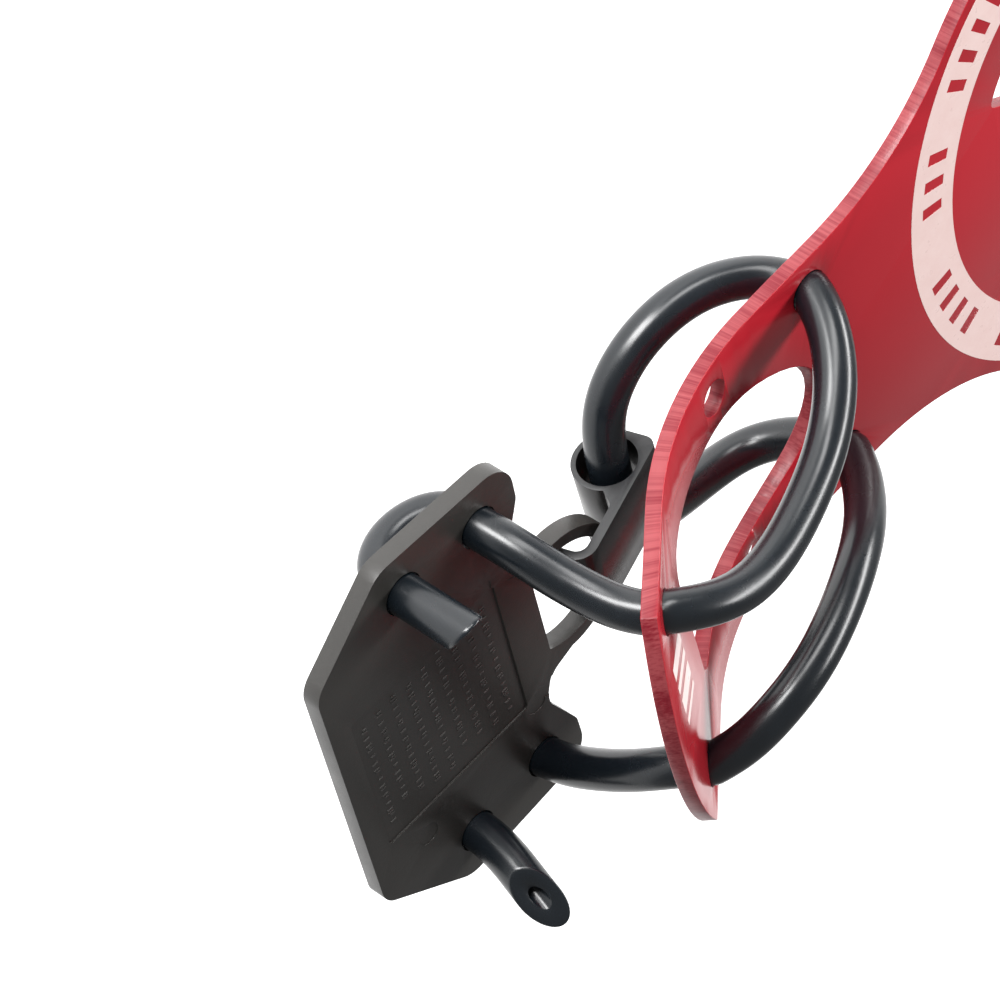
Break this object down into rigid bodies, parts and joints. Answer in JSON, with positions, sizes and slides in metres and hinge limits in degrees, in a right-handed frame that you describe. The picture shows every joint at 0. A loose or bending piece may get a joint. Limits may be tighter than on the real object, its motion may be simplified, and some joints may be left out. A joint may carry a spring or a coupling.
{
  "type": "lockout hasp",
  "caption": "Bent metal carrier plate with a round hub and two windowed arms, laced with rubber tube to moulded anchor plates held by hook clips.",
  "frame": {"origin": "centre of the round hub, on its flat back face", "axes": "+X along the first arm, +Z out of the plate's front face, +Y completes a right-handed frame"},
  "size_m": [0.4208, 0.128, 0.0595],
  "materials": {
    "plate": "glossy red anodised or lacquered",
    "tube": "smooth satin black",
    "anchor": "satin moulded",
    "hook": "satin, sawn sides"
  },
  "bodies": {
    "frame": {"plate": "plate", "tube_back_a": "tube", "tube_front_left_a": "tube", "tube_front_right_a": "tube", "tube_back_b": "tube", "tube_front_left_b": "tube", "tube_front_right_b": "tube"},
    "hook_a": {"hook_a": "hook"},
    "anchor_a": {"anchor_a": "anchor", "tube_run_left_a": "tube", "tube_run_right_a": "tube", "tube_end_left_a": "tube", "tube_end_right_a": "tube"},
    "hook_b": {"hook_b": "hook"},
    "anchor_b": {"anchor_b": "anchor", "tube_run_left_b": "tube", "tube_run_right_b": "tube", "tube_end_left_b": "tube", "tube_end_right_b": "tube"}
  },
  "joints": [
    {"name": "hook_a_release", "type": "hinge", "parent": "frame", "child": "hook_a", "pos_m": [0.1298, 0, -0.013], "axis": [0, -1, 0], "range_deg": [0, 100]},
    {"name": "anchor_a_tilt", "type": "hinge", "parent": "frame", "child": "anchor_a", "pos_m": [0.1394, 0, -0.0079], "axis": [0, -1, 0], "range_deg": [-8, 8], "stiffness_Nm_per_rad": 4, "deforming": ["tube_run_left_a", "tube_run_right_a"]},
    {"name": "hook_b_release", "type": "hinge", "parent": "frame", "child": "hook_b", "pos_m": [-0.1298, 0, -0.013], "axis": [0, 1, 0], "range_deg": [0, 100]},
    {"name": "anchor_b_tilt", "type": "hinge", "parent": "frame", "child": "anchor_b", "pos_m": [-0.1394, 0, -0.0079], "axis": [0, 1, 0], "range_deg": [-8, 8], "stiffness_Nm_per_rad": 4, "deforming": ["tube_run_left_b", "tube_run_right_b"]}
  ]
}
